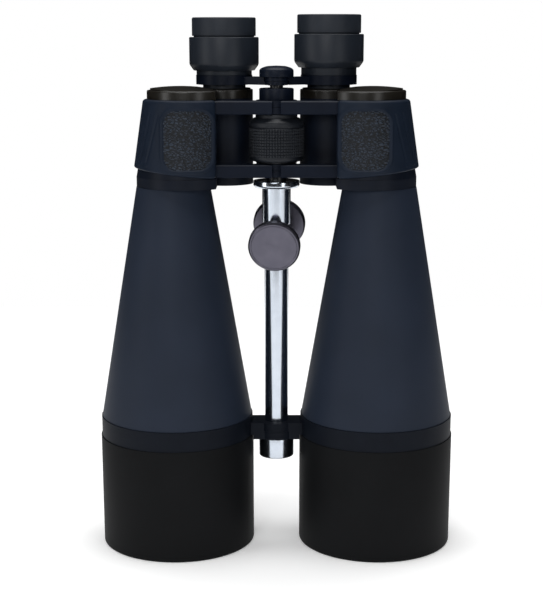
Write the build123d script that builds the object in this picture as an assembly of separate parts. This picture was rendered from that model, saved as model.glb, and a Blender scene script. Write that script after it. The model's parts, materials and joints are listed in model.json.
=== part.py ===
from build123d import *
import os
from math import atan, cos, degrees, radians, sin

# Giant centre-focus Porro binoculars, in millimetres.
# The hinge axis is +Z through the origin, from the objective rims (z = 0) up to the eyepieces.
# +X points to the right-hand half; the grip panels face -Y.
# side = 1 builds the right-hand half and side = -1 the left-hand half.

# --- where the optical axes run, in the right-hand half (mirrored for the left) ---
BARREL_X = 62.5
OBJECTIVE_AXIS = (BARREL_X, 0.0)
EYE_AXIS = (31.8, 18.0)
FOLD_AXIS = (56.1, 24.4)  # where the light runs back down, between the two prisms

# --- objective tube, lens and barrel ---
TUBE_R = 48.0
TUBE_TOP = 70.3
TUBE_WALL = 2.4
TUBE_RIM_ROUND = 1.0
LENS_R = 42.0
LENS_SEAT_Z = 62.0
LENS_CELL_DEPTH = 16.0  # how far the narrower bore that holds the lens reaches below its seat
LENS_CLEAR = 0.1
CROWN_EDGE = (53.0, 56.5)
CROWN_FRONT_SAG = 3.0
CEMENT_SAG = 2.5
CEMENT_GAP = 0.05
RETAINER_LIP = 1.8
RETAINER_HEIGHT = 3.0
RETAINER_GAP = 0.4
SPANNER_SLOT = (3.0, 1.2)  # width and depth
SPIGOT_R = 44.2
SPIGOT_BOTTOM = 64.0
BAND_SEAT_R = 45.3
CONE_BOTTOM_R = 46.9
CONE_BOTTOM_Z = 82.5
CONE_TOP_R = 22.4
CONE_TOP_Z = 225.0
NECK_R = 21.0
NECK_TOP = 228.3
BARREL_WALL = 2.6

# --- prism housing ---
HOUSING_BOTTOM = 225.0
HOUSING_TOP = 277.0
FLOOR_TOP = 228.4
BELLY_CENTRE = (56.0, 3.0)  # centre of the round front of the housing, at BELLY_Z
BELLY_R = 30.2  # armour radius at BELLY_Z
BELLY_Z = 237.7
BELLY_SLOPE = 0.085  # radius lost for each millimetre of height
BELLY_LEAN = 0.07  # how far the centre moves inwards for each millimetre of height
BELLY_LOFT = (220.0, 290.0)  # every belly block is cut from a loft between these heights
BACK_R = 17.5  # armour radius round FOLD_AXIS
EYE_SIDE_R = 17.4  # bare metal radius round EYE_AXIS
ARMOUR_WALL = 2.0
METAL_WALL = 2.4
INNER_SIDE_X = 36.0  # flat inner side of the armoured block
BASE_R = 29.0
BASE_TOP = 231.0
ARMOUR_EDGE_LOW = 231.4  # the armour's lower edge rises towards the outer side
ARMOUR_EDGE_RISE = 0.1
ARMOUR_EDGE_X = 36.0
SHELF_BOTTOM = 249.5
SHELF_TOP = 251.5
LEDGE = 0.8
BEAM_HOLE_R = 10.0
ARMOUR_TOP_ROUND = 1.9

# --- pebbled grip panel, let into the front of the armour ---
PANEL_X = (37.5, 67.0)
PANEL_Z = (236.5, 271.5)
PANEL_DEPTH = 0.9
PANEL_CORNER = 8.0

# --- Porro prisms ---
PRISM_HALF_LENGTH = 25.2
PRISM_END_R = 11.0
PRISM_HEIGHT = 20.0
CLIP_GAUGE = 0.6
CLIP_WIDTH = 8.0
GLASS_GAP = 0.05  # between the glass or a wall and the sheet metal next to it

# --- cover plate and eyepiece guide ---
PLATE_BELLY_R = 24.5
PLATE_BACK_R = 15.5
PLATE_TOP = 282.1
PLATE_EDGE_ROUND = 0.8
DOME_CENTRE = (58.0, 4.0)
DOME_HEIGHT = 2.3
DOME_SPAN = 24.0
DOME_MARGIN = 2.0  # flat rim left round the dome
GUIDE_BORE_R = 13.0
GUIDE_R = 14.0
GUIDE_BOTTOM = 264.0
GUIDE_LIP_R = 16.0
GUIDE_LIP_TOP = 282.8

# --- eyepieces ---
ARM_BOTTOM = 285.2
ARM_TOP = 289.8
ARM_RING_BOTTOM = 285.0
ARM_RING_TOP = 290.5
ARM_RING_R = 17.1
ARM_RING_BORE_R = 15.0
OCULAR_TUBE_R = 12.95
OCULAR_TUBE_WALL = 1.1
OCULAR_TUBE_BOTTOM = 262.0
OCULAR_NECK_R = 16.8
OCULAR_NECK_TOP = 305.0
CELL_R = 13.9
CELL_BORE_R = 14.0
CELL_BOTTOM = 293.2
CELL_TOP = 318.6
CELL_STROKE = 2.2  # room under the lens cell for the dioptre travel
RING_R = 21.05
RING_BOTTOM = 295.0
RING_FULL_Z = 298.5
RING_TOP = 314.7
RING_FOOT_EDGE = 2.6
RING_SKIRT_BORE_R = 17.1
RING_CEILING = 307.2
RING_BORE_R = 13.97
CUP_R = 19.3
CUP_SPIGOT_R = 18.3
CUP_SPIGOT_BOTTOM = 311.5
CUP_SHOULDER_Z = 315.3
CUP_TOP = 326.2
CUP_BORE_R = 14.5
CUP_WALL = 2.0
CUP_LIP_CHAMFER = 0.6
LEFT_EYEPIECE_DROP = 1.8  # how much lower the fixed left eyepiece sits
FIELD_LENS = (12.0, 295.2, 299.2)  # radius, seat bottom and seat top
EYE_LENS = (11.5, 312.8, 317.0)
EYE_LENS_SAGS = (0.6, 1.2)
LENS_LIP = 1.2

# --- centre rod and its fittings ---
ROD_R = 7.3
ROD_BOTTOM = 57.0
ROD_TOP = 228.6
ROD_ROOT_LENGTH = 8.0  # how far the rod's narrow top reaches into the hinge tube
ROD_ROOT_CLEAR = 0.02
NUT_R = 10.9
NUT_BOTTOM = 54.7
NUT_GAP = 0.1
BRIDGE_BOTTOM = 67.4
BRIDGE_TOP = 77.9
BAND_R = 47.4
BRIDGE_HALF_DEPTH = 9.5
BRIDGE_KNUCKLE_R = 12.0
BRIDGE_CLEAR = 0.3
CAP_ROOM = 1.0  # room left round the objective tube for a push-on cap
SLEEVE_R = 8.65
SLEEVE_BOTTOM = 201.9
SLEEVE_TOP = 224.4
FLANGE_R = 14.0
FLANGE_TOP = 228.6
FLANGE_EDGE = 1.4
METAL_EDGE = 0.8  # chamfer on the sleeve's and the nut's edges

# --- hinge ---
HINGE_TUBE_R = 6.0
HINGE_TUBE_BORE_R = 4.0
HINGE_KNUCKLE_R = 12.2
HINGE_BARS = {"lower": (231.4, 239.0), "upper": (268.6, 276.4)}
BAR_FRONT_Y = -15.5
BAR_BACK_Y = -5.0
BAR_GAP_HALF = 2.65
BAR_EDGE = 0.6
KNUCKLE_CLEAR = 0.4
KNUCKLE_SPLIT = 0.2
POST_R = 10.35
POST_TOP = 283.4
POST_EDGE = 0.7

# --- focus wheel and hub ---
WHEEL_R = 16.75
WHEEL_BOTTOM = 240.5
WHEEL_TOP = 266.0
WHEEL_FOOT_EDGE = 1.6
WHEEL_GRIP_TOP = 260.5  # above this the rim steps in and slopes to the top
WHEEL_STEP = 0.5
WHEEL_SLOPE_Z = 263.5
WHEEL_TOP_R = 13.75
SPINDLE_R = 3.95
SPINDLE_BOTTOM = 243.0
HUB_R = 5.0
HUB_BOTTOM_GAP = 0.3  # how far the hub's shoulder starts below the arms
HUB_KNUCKLE_R = 7.2
ARM_WIDTH = 9.0
CAP_R = 10.25
CAP_BOTTOM = 290.0
CAP_TOP = 296.5
CAP_CROWN_RISE = 3.0

# --- tripod clamp on the rod; its cross-axis leans and turns a little ---
CLAMP_Z = 194.4
CLAMP_LEAN = 15.5
CLAMP_TURN = 5.3
COLLAR_R = 10.0
COLLAR_BOTTOM = 185.0
COLLAR_TOP = 199.5
LINER_R = 8.2
BOSS_R = 5.5
BOSS_END = 11.6
KNOB_R = 15.75
KNOB_BACK = 12.0
KNOB_FACE = 17.5
SCREW_R = 3.0
SCREW_TIP = 9.7
FOOT_R = 16.2
FOOT_BACK = 17.5
FOOT_FACE = 22.5
SOCKET_R = 3.2
SOCKET_DEPTH = 9.0
RIM_EDGE = 0.9  # chamfer on the knob's and the foot's rims
SLEEVE_CLEAR = 0.5

RUNNING = 0.06  # radial clearance where one part turns or slides on another
FAR = 400.0


def turned(profile):
    # A solid of revolution about Z from (radius, z) corners.
    wire = Wire.make_polygon([Vector(radius, 0, z) for radius, z in profile])
    return revolve(Face(wire), Axis.Z)


def ring(outer, inner, bottom, top):
    return turned([(inner, bottom), (outer, bottom), (outer, top), (inner, top)])


def rod_along_z(radius, bottom, top):
    return Pos(0, 0, (bottom + top) / 2) * Cylinder(radius, top - bottom)


def block(x_range, y_range, z_range):
    low = [min(r) for r in (x_range, y_range, z_range)]
    high = [max(r) for r in (x_range, y_range, z_range)]
    size = [h - l for l, h in zip(low, high)]
    centre = [(h + l) / 2 for l, h in zip(low, high)]
    return Pos(*centre) * Box(*size)


def circle_edges_at(part, z):
    edges = part.edges().filter_by(GeomType.CIRCLE)
    return edges.filter_by_position(Axis.Z, z - 0.01, z + 0.01)


def largest_solid(part):
    return part.solids().sort_by(SortBy.VOLUME)[-1]


def for_side(part, side):
    # Right-hand parts are drawn; left-hand ones are their mirror image in the YZ plane.
    return part if side > 0 else mirror(part, about=Plane.YZ)


# ---------------------------------------------------------------- objective end

def objective_tube():
    wall_in = TUBE_R - TUBE_WALL
    cell_bottom = LENS_SEAT_Z - LENS_CELL_DEPTH
    cell_r = LENS_R + LENS_CLEAR
    seat_r = LENS_R - 2
    body = turned([
        (wall_in, 0), (TUBE_R, 0), (TUBE_R, TUBE_TOP), (SPIGOT_R, TUBE_TOP),
        (SPIGOT_R, SPIGOT_BOTTOM), (seat_r, SPIGOT_BOTTOM), (seat_r, LENS_SEAT_Z),
        (cell_r, LENS_SEAT_Z), (cell_r, cell_bottom), (wall_in, cell_bottom),
    ])
    rim = circle_edges_at(body, 0)
    body = fillet(rim, TUBE_RIM_ROUND)
    return Pos(BARREL_X, 0, 0) * body


def cap_radius(half_width, sag):
    return (half_width ** 2 + sag ** 2) / (2 * sag)


def lens(radius, edge_bottom, edge_top, sag_bottom, sag_top):
    # A round lens with a spherical surface at each end; a negative sag is hollow.
    body = rod_along_z(radius, edge_bottom - max(sag_bottom, 0), edge_top + max(sag_top, 0))
    for edge_z, sag, outward in ((edge_bottom, sag_bottom, -1), (edge_top, sag_top, 1)):
        if sag == 0:
            continue
        ball_r = cap_radius(radius, abs(sag))
        if sag > 0:
            ball = Pos(0, 0, edge_z - outward * (ball_r - sag)) * Sphere(ball_r)
            body = body & ball
        else:
            ball = Pos(0, 0, edge_z + outward * (ball_r + sag)) * Sphere(ball_r)
            body = body - ball
    return body


def objective_crown():
    return Pos(BARREL_X, 0, 0) * lens(LENS_R, *CROWN_EDGE, CROWN_FRONT_SAG, CEMENT_SAG)


def objective_flint():
    return Pos(BARREL_X, 0, 0) * lens(LENS_R, CROWN_EDGE[1] + CEMENT_GAP, LENS_SEAT_Z, -CEMENT_SAG, 0)


def lens_retainer():
    top = CROWN_EDGE[0] - RETAINER_GAP
    bottom = top - RETAINER_HEIGHT
    body = ring(LENS_R + LENS_CLEAR, LENS_R - RETAINER_LIP, bottom, top)
    # two slots for the spanner that screws the ring in
    width, depth = SPANNER_SLOT
    notch = block((-FAR, FAR), (-width / 2, width / 2), (bottom - 1, bottom + depth))
    return Pos(BARREL_X, 0, 0) * (body - notch)


def barrel():
    wall = BARREL_WALL
    body = turned([
        (SPIGOT_R - wall, SPIGOT_BOTTOM), (SPIGOT_R, SPIGOT_BOTTOM), (SPIGOT_R, TUBE_TOP),
        (BAND_SEAT_R, TUBE_TOP), (BAND_SEAT_R, CONE_BOTTOM_Z), (CONE_BOTTOM_R, CONE_BOTTOM_Z),
        (CONE_TOP_R, CONE_TOP_Z), (NECK_R, CONE_TOP_Z), (NECK_R, NECK_TOP),
        (NECK_R - wall, NECK_TOP), (NECK_R - wall, CONE_TOP_Z),
        (CONE_BOTTOM_R - 2 * wall, CONE_BOTTOM_Z),
    ])
    return Pos(BARREL_X, 0, 0) * body


def front_bridge(upper_knuckle):
    # The band round the barrel, the bar to the rod, and one half of the interleaved knuckle.
    band = Pos(BARREL_X, 0, 0) * ring(BAND_R, BAND_SEAT_R, TUBE_TOP, CONE_BOTTOM_Z)
    bar = block((0, BARREL_X - SPIGOT_R), (-BRIDGE_HALF_DEPTH, BRIDGE_HALF_DEPTH),
                (BRIDGE_BOTTOM, BRIDGE_TOP))
    cap_space = Pos(BARREL_X, 0, 0) * rod_along_z(TUBE_R + CAP_ROOM, 0, TUBE_TOP)
    bar -= cap_space
    bar -= Pos(BARREL_X, 0, 0) * rod_along_z(BAND_SEAT_R, 0, FAR)
    bar -= rod_along_z(BRIDGE_KNUCKLE_R + BRIDGE_CLEAR, 0, FAR)
    middle = (BRIDGE_BOTTOM + BRIDGE_TOP) / 2
    if upper_knuckle:
        low, high = middle + KNUCKLE_SPLIT / 2, BRIDGE_TOP
    else:
        low, high = BRIDGE_BOTTOM, middle - KNUCKLE_SPLIT / 2
    knuckle = rod_along_z(BRIDGE_KNUCKLE_R, low, high)
    web = block((0, BRIDGE_KNUCKLE_R + 2), (-BRIDGE_HALF_DEPTH, BRIDGE_HALF_DEPTH), (low, high))
    web -= cap_space
    part = band + bar + web + knuckle
    return part - rod_along_z(ROD_R + RUNNING, 0, FAR)


# ---------------------------------------------------------------- prism housing

def two_circle_hull(centre_a, radius_a, centre_b, radius_b):
    circle_a = Pos(*centre_a) * Circle(radius_a)
    circle_b = Pos(*centre_b) * Circle(radius_b)
    return make_hull((circle_a + circle_b).edges())


def belly_radius(z):
    return BELLY_R - BELLY_SLOPE * (z - BELLY_Z)


def belly_centre(z):
    return (BELLY_CENTRE[0] - BELLY_LEAN * (z - BELLY_Z), BELLY_CENTRE[1])


def belly_block(bottom, top, inset):
    # The flared round-fronted block, inset from the armour's outer surface.
    outlines = []
    for z in BELLY_LOFT:
        outline = two_circle_hull(belly_centre(z), belly_radius(z) - inset, FOLD_AXIS, BACK_R - inset)
        outlines.append(Pos(0, 0, z) * outline)
    keep = block((INNER_SIDE_X + inset, FAR), (-FAR, FAR), (bottom, top))
    return loft(outlines, ruled=True) & keep


def eye_block(bottom, top, inset):
    # The straight-sided block under the eyepiece, inset from the bare metal surface.
    metal_back_r = BACK_R - ARMOUR_WALL
    outline = two_circle_hull(EYE_AXIS, EYE_SIDE_R - inset, FOLD_AXIS, metal_back_r - inset)
    return extrude(Pos(0, 0, bottom) * outline, top - bottom)


def cavity(bottom, top, extra):
    inset = METAL_WALL + extra
    return belly_block(bottom, top, ARMOUR_WALL + inset) + eye_block(bottom, top, inset)


def base_outline_block(bottom, top, inset):
    outline = two_circle_hull(BELLY_CENTRE, BASE_R - inset, FOLD_AXIS, BACK_R - inset)
    body = extrude(Pos(0, 0, bottom) * outline, top - bottom)
    return body & block((INNER_SIDE_X + inset, FAR), (-FAR, FAR), (0, FAR))


def prism_housing():
    body = belly_block(BASE_TOP, HOUSING_TOP, ARMOUR_WALL)
    body += base_outline_block(HOUSING_BOTTOM, BASE_TOP, 0)
    body += eye_block(HOUSING_BOTTOM, HOUSING_TOP, 0)
    body -= cavity(FLOOR_TOP, SHELF_BOTTOM, LEDGE)
    body -= cavity(SHELF_BOTTOM, HOUSING_TOP + 1, 0)
    return body - Pos(BARREL_X, 0, 0) * rod_along_z(NECK_R, 0, NECK_TOP + 1)


def armour():
    body = belly_block(BASE_TOP, HOUSING_TOP, 0)
    edge_angle = -degrees(atan(ARMOUR_EDGE_RISE))
    below = Pos(ARMOUR_EDGE_X, 0, ARMOUR_EDGE_LOW) * Rot(0, edge_angle, 0) * (
        Pos(0, 0, -FAR / 2) * Box(FAR, FAR, FAR))
    body -= below
    top_edges = body.faces().sort_by(Axis.Z)[-1].edges()
    body = fillet(top_edges, ARMOUR_TOP_ROUND)
    body -= belly_block(HOUSING_BOTTOM, HOUSING_TOP + 5, ARMOUR_WALL)
    body -= base_outline_block(HOUSING_BOTTOM, BASE_TOP, 0)
    body -= eye_block(HOUSING_BOTTOM, HOUSING_TOP + 5, 0)
    for bottom, top in HINGE_BARS.values():
        body -= block((0, INNER_SIDE_X + ARMOUR_WALL), (BAR_FRONT_Y, BAR_BACK_Y), (bottom, top))
    return largest_solid(body)


def grip_panel_window():
    # A rounded window on the front, thick in Y, that bounds the pebbled panel.
    width = PANEL_X[1] - PANEL_X[0]
    height = PANEL_Z[1] - PANEL_Z[0]
    centre_x = sum(PANEL_X) / 2
    centre_z = sum(PANEL_Z) / 2
    outline = Plane.XZ * Pos(centre_x, centre_z) * RectangleRounded(width, height, PANEL_CORNER)
    return extrude(outline, amount=FAR / 4)


def grip_panel():
    # A thin panel let into the armour, flush with its surface.
    skin = belly_block(BASE_TOP, HOUSING_TOP, 0)
    skin -= belly_block(HOUSING_BOTTOM, HOUSING_TOP + 5, PANEL_DEPTH)
    return largest_solid(skin & grip_panel_window())


def armour_with_panel_seat():
    return largest_solid(armour() - grip_panel())


def cover_plate():
    centre = belly_centre(HOUSING_TOP)
    outline = two_circle_hull(centre, PLATE_BELLY_R, FOLD_AXIS, PLATE_BACK_R)
    plate = extrude(Pos(0, 0, HOUSING_TOP) * outline, PLATE_TOP - HOUSING_TOP)
    plate &= block((INNER_SIDE_X, FAR), (-FAR, FAR), (0, FAR))
    plate += eye_block(HOUSING_TOP, PLATE_TOP, 0)
    plate = fillet(plate.faces().sort_by(Axis.Z)[-1].edges(), PLATE_EDGE_ROUND)
    ball_r = cap_radius(DOME_SPAN, DOME_HEIGHT)
    dome = Pos(*DOME_CENTRE, PLATE_TOP + DOME_HEIGHT - ball_r) * Sphere(ball_r)
    footprint = two_circle_hull(centre, PLATE_BELLY_R - DOME_MARGIN, FOLD_AXIS, PLATE_BACK_R - DOME_MARGIN)
    dome &= extrude(Pos(0, 0, PLATE_TOP - 1) * footprint, DOME_HEIGHT + 2)
    dome &= block((INNER_SIDE_X + DOME_MARGIN, FAR), (-FAR, FAR), (0, FAR))
    dome -= Pos(*EYE_AXIS) * rod_along_z(GUIDE_LIP_R + DOME_MARGIN + 1, 0, FAR)
    plate += dome
    return plate - Pos(*EYE_AXIS) * rod_along_z(GUIDE_R, 0, FAR)


def eyepiece_guide():
    body = turned([
        (GUIDE_BORE_R, GUIDE_BOTTOM), (GUIDE_R, GUIDE_BOTTOM), (GUIDE_R, PLATE_TOP),
        (GUIDE_LIP_R, PLATE_TOP), (GUIDE_LIP_R, GUIDE_LIP_TOP), (GUIDE_BORE_R, GUIDE_LIP_TOP),
    ])
    return Pos(*EYE_AXIS) * body


# ---------------------------------------------------------------- prisms


def between(start, end):
    # A placement centred between two beam axes with its X axis along them.
    run = Vector(*end) - Vector(*start)
    centre = (Vector(*end) + Vector(*start)) / 2
    return Plane(origin=centre, x_dir=run, z_dir=(0, 0, 1)).location


def prism(start, end, flip):
    # A right-angle prism with rounded ends and a flattened apex, its large face at z = 0.
    half = PRISM_HALF_LENGTH
    flat = half - PRISM_HEIGHT
    profile = Plane.XZ * make_face(Polyline(
        (-half, 0), (half, 0), (flat, PRISM_HEIGHT), (-flat, PRISM_HEIGHT), close=True))
    wedge = extrude(profile, amount=PRISM_END_R, both=True)
    length = (Vector(*end) - Vector(*start)).length
    wedge &= extrude(SlotCenterToCenter(length, 2 * PRISM_END_R), PRISM_HEIGHT)
    if flip:
        wedge = mirror(wedge, about=Plane.XY)
    return wedge


def eye_prism():
    return between(FOLD_AXIS, EYE_AXIS) * Pos(0, 0, SHELF_BOTTOM) * prism(FOLD_AXIS, EYE_AXIS, True)


def objective_prism():
    place = between(OBJECTIVE_AXIS, FOLD_AXIS) * Pos(0, 0, SHELF_TOP)
    return place * prism(OBJECTIVE_AXIS, FOLD_AXIS, False)


def clip(flip):
    # A spring strap over the apex with a leg down each side.
    inner = PRISM_END_R + GLASS_GAP
    outer = inner + CLIP_GAUGE
    half_width = CLIP_WIDTH / 2
    top = PRISM_HEIGHT + CLIP_GAUGE
    strap = block((-half_width, half_width), (-outer, outer), (0, top))
    strap -= block((-FAR, FAR), (-inner, inner), (-1, PRISM_HEIGHT))
    return mirror(strap, about=Plane.XY) if flip else strap


def prism_clips():
    upper = between(OBJECTIVE_AXIS, FOLD_AXIS) * Pos(0, 0, SHELF_TOP) * clip(False)
    lower = between(FOLD_AXIS, EYE_AXIS) * Pos(0, 0, SHELF_BOTTOM) * clip(True)
    return Compound([upper.solid(), lower.solid()])


def prism_shelf():
    plate = cavity(SHELF_BOTTOM, SHELF_TOP, GLASS_GAP)
    for axis in (OBJECTIVE_AXIS, FOLD_AXIS, EYE_AXIS):
        plate -= Pos(*axis) * rod_along_z(BEAM_HOLE_R, 0, FAR)
    return plate


# ---------------------------------------------------------------- hinge

def hinge_arm(level, side):
    # A front bar with one half of the interleaved knuckle, which the left half holds on top.
    bottom, top = HINGE_BARS[level]
    middle = (bottom + top) / 2
    bar = block((BAR_GAP_HALF, INNER_SIDE_X + ARMOUR_WALL), (BAR_FRONT_Y, BAR_BACK_Y), (bottom, top))
    front_edges = bar.edges().filter_by(Axis.X).group_by(Axis.Y)[0]
    bar = chamfer(front_edges, BAR_EDGE)
    bar -= rod_along_z(HINGE_KNUCKLE_R + KNUCKLE_CLEAR, 0, FAR)
    if side > 0:
        low, high = bottom, middle - KNUCKLE_SPLIT / 2
        bore_r = HINGE_TUBE_R + RUNNING
    else:
        low, high = middle + KNUCKLE_SPLIT / 2, top
        bore_r = HINGE_TUBE_R
    web = block((BAR_GAP_HALF, HINGE_KNUCKLE_R + 2), (BAR_FRONT_Y + 1, BAR_BACK_Y), (low, high))
    arm = bar + web + rod_along_z(HINGE_KNUCKLE_R, low, high)
    return arm - rod_along_z(bore_r, 0, FAR)


def hinge_tube():
    return ring(HINGE_TUBE_R, HINGE_TUBE_BORE_R, ROD_TOP, HINGE_BARS["upper"][1])


def hinge_post():
    bottom = HINGE_BARS["upper"][1]
    body = ring(POST_R, HINGE_TUBE_BORE_R + RUNNING, bottom, POST_TOP)
    return chamfer(circle_edges_at(body, POST_TOP).sort_by(SortBy.LENGTH)[-1], POST_EDGE)


# ---------------------------------------------------------------- rod

def rod():
    root_r = HINGE_TUBE_BORE_R - ROD_ROOT_CLEAR
    root_top = ROD_TOP + ROD_ROOT_LENGTH
    return turned([
        (0, ROD_BOTTOM), (ROD_R, ROD_BOTTOM), (ROD_R, ROD_TOP), (root_r, ROD_TOP),
        (root_r, root_top), (0, root_top),
    ])


def rod_sleeve():
    edge = METAL_EDGE
    return turned([
        (ROD_R, SLEEVE_BOTTOM), (SLEEVE_R - edge, SLEEVE_BOTTOM), (SLEEVE_R, SLEEVE_BOTTOM + edge),
        (SLEEVE_R, SLEEVE_TOP), (FLANGE_R - FLANGE_EDGE, SLEEVE_TOP), (FLANGE_R, SLEEVE_TOP + FLANGE_EDGE),
        (FLANGE_R, FLANGE_TOP), (ROD_R, FLANGE_TOP),
    ])


def rod_nut():
    edge = METAL_EDGE
    top = BRIDGE_BOTTOM - NUT_GAP
    return turned([
        (0, NUT_BOTTOM), (NUT_R - edge, NUT_BOTTOM), (NUT_R, NUT_BOTTOM + edge),
        (NUT_R, top), (ROD_R, top), (ROD_R, ROD_BOTTOM), (0, ROD_BOTTOM),
    ])


# ---------------------------------------------------------------- focus wheel and eyepiece bridge

def focus_wheel():
    bore = HINGE_TUBE_R + RUNNING
    return turned([
        (bore, WHEEL_BOTTOM), (WHEEL_R - WHEEL_FOOT_EDGE, WHEEL_BOTTOM),
        (WHEEL_R, WHEEL_BOTTOM + WHEEL_FOOT_EDGE), (WHEEL_R, WHEEL_GRIP_TOP),
        (WHEEL_R - WHEEL_STEP, WHEEL_GRIP_TOP + WHEEL_STEP), (WHEEL_R - WHEEL_STEP, WHEEL_SLOPE_Z),
        (WHEEL_TOP_R, WHEEL_TOP), (bore, WHEEL_TOP),
    ])


def focus_spindle():
    shoulder = ARM_BOTTOM - HUB_BOTTOM_GAP
    return turned([
        (0, SPINDLE_BOTTOM), (SPINDLE_R, SPINDLE_BOTTOM), (SPINDLE_R, shoulder),
        (HUB_R, shoulder), (HUB_R, CAP_BOTTOM), (0, CAP_BOTTOM),
    ])


def hub_cap():
    ball_r = cap_radius(CAP_R, CAP_CROWN_RISE)
    body = rod_along_z(CAP_R, CAP_BOTTOM, CAP_TOP)
    return body & Pos(0, 0, CAP_TOP - ball_r) * Sphere(ball_r)


def eyepiece_arm(side):
    # The arm's ring round the eyepiece and its half of the knuckle on the hub.
    middle = (ARM_BOTTOM + ARM_TOP) / 2
    if side > 0:
        low, high = middle + KNUCKLE_SPLIT / 2, ARM_TOP
        bore_r = HUB_R + RUNNING
    else:
        low, high = ARM_BOTTOM, middle - KNUCKLE_SPLIT / 2
        bore_r = HUB_R
    eye_ring = Pos(*EYE_AXIS) * rod_along_z(ARM_RING_R, ARM_RING_BOTTOM, ARM_RING_TOP)
    start = (0.0, 0.0)
    reach = (Vector(*EYE_AXIS) - Vector(*start)).length
    bar = between(start, EYE_AXIS) * block(
        (-reach / 2, reach / 2), (-ARM_WIDTH / 2, ARM_WIDTH / 2), (ARM_BOTTOM, ARM_TOP))
    bar -= rod_along_z(HUB_KNUCKLE_R + KNUCKLE_CLEAR, 0, FAR)
    web = between(start, EYE_AXIS) * block(
        (-reach / 2, -reach / 2 + HUB_KNUCKLE_R + 2), (-ARM_WIDTH / 2, ARM_WIDTH / 2), (low, high))
    arm = bar + web + rod_along_z(HUB_KNUCKLE_R, low, high) + eye_ring
    arm -= Pos(*EYE_AXIS) * rod_along_z(ARM_RING_BORE_R, 0, FAR)
    return arm - rod_along_z(bore_r, 0, FAR)


# ---------------------------------------------------------------- eyepieces

def drop_of(side):
    return 0.0 if side > 0 else LEFT_EYEPIECE_DROP


def eyepiece_tube():
    step = ARM_RING_BOTTOM - 0.2
    bore_step = CELL_BOTTOM - CELL_STROKE - LEFT_EYEPIECE_DROP
    inner = OCULAR_TUBE_R - OCULAR_TUBE_WALL
    return Pos(*EYE_AXIS) * turned([
        (inner, OCULAR_TUBE_BOTTOM), (OCULAR_TUBE_R, OCULAR_TUBE_BOTTOM), (OCULAR_TUBE_R, step),
        (ARM_RING_BORE_R, step), (ARM_RING_BORE_R, ARM_RING_TOP), (OCULAR_NECK_R, ARM_RING_TOP),
        (OCULAR_NECK_R, OCULAR_NECK_TOP - LEFT_EYEPIECE_DROP),
        (CELL_BORE_R, OCULAR_NECK_TOP - LEFT_EYEPIECE_DROP),
        (CELL_BORE_R, bore_step), (inner, bore_step),
    ])


def lens_cell():
    field_r, field_bottom, field_top = FIELD_LENS
    eye_r, eye_bottom, eye_top = EYE_LENS
    field_seat = field_r + GLASS_GAP
    eye_seat = eye_r + GLASS_GAP
    ledge_z = field_top + 1.5
    return turned([
        (field_r - LENS_LIP, CELL_BOTTOM), (CELL_R, CELL_BOTTOM), (CELL_R, CELL_TOP),
        (eye_seat, CELL_TOP), (eye_seat, eye_bottom), (eye_r - LENS_LIP, eye_bottom),
        (eye_r - LENS_LIP, ledge_z), (field_seat, ledge_z),
        (field_seat, field_bottom - 0.5), (field_r - LENS_LIP, field_bottom - 0.5),
    ])


def field_lens():
    radius, bottom, top = FIELD_LENS
    return lens(radius, bottom + 0.5, top, *EYE_LENS_SAGS)


def eye_lens():
    radius, bottom, top = EYE_LENS
    return lens(radius, bottom + 1.0, top - EYE_LENS_SAGS[1], *EYE_LENS_SAGS)


def eyepiece_ring():
    return turned([
        (RING_SKIRT_BORE_R, RING_BOTTOM), (RING_R - RING_FOOT_EDGE, RING_BOTTOM), (RING_R, RING_FULL_Z),
        (RING_R, RING_TOP), (CUP_SPIGOT_R, RING_TOP), (CUP_SPIGOT_R, CUP_SPIGOT_BOTTOM),
        (RING_BORE_R, CUP_SPIGOT_BOTTOM), (RING_BORE_R, RING_CEILING),
        (RING_SKIRT_BORE_R, RING_CEILING),
    ])


def eyecup():
    edge = CUP_LIP_CHAMFER
    mouth_r = CUP_R - CUP_WALL
    return turned([
        (CUP_BORE_R, CUP_SPIGOT_BOTTOM), (CUP_SPIGOT_R, CUP_SPIGOT_BOTTOM),
        (CUP_SPIGOT_R, CUP_SHOULDER_Z), (CUP_R, CUP_SHOULDER_Z), (CUP_R, CUP_TOP - edge),
        (CUP_R - edge, CUP_TOP), (mouth_r, CUP_TOP), (mouth_r - 0.4, CUP_SHOULDER_Z + 3),
        (CUP_BORE_R, CUP_SHOULDER_Z + 1.5),
    ])


def on_eye_axis(part, side):
    return Pos(EYE_AXIS[0], EYE_AXIS[1], -drop_of(side)) * part


# ---------------------------------------------------------------- tripod clamp

def clamp_frame():
    # Origin on the rod axis; Z points out of the knob's face, forwards and down.
    lean = radians(CLAMP_LEAN)
    turn = radians(CLAMP_TURN)
    out = Vector(-sin(turn) * cos(lean), -cos(turn) * cos(lean), -sin(lean))
    return Plane(origin=(0, 0, CLAMP_Z), x_dir=(cos(turn), -sin(turn), 0), z_dir=out).location


def clamp_liner():
    return ring(LINER_R, ROD_R + RUNNING, COLLAR_BOTTOM, COLLAR_TOP)


def clamp_collar():
    frame = clamp_frame()
    collar = rod_along_z(COLLAR_R, COLLAR_BOTTOM, COLLAR_TOP)
    bosses = frame * rod_along_z(BOSS_R, -FOOT_BACK, BOSS_END)
    body = collar + bosses
    body -= frame * rod_along_z(SCREW_R + RUNNING, 0, FAR)
    body -= frame * rod_along_z(KNOB_R + 1, BOSS_END, FAR)
    body -= rod_along_z(SLEEVE_R + SLEEVE_CLEAR, COLLAR_TOP, FAR)
    body -= frame * rod_along_z(SOCKET_R, -FAR, SOCKET_DEPTH - FOOT_FACE)
    return body - rod_along_z(LINER_R + RUNNING, 0, FAR)


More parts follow.
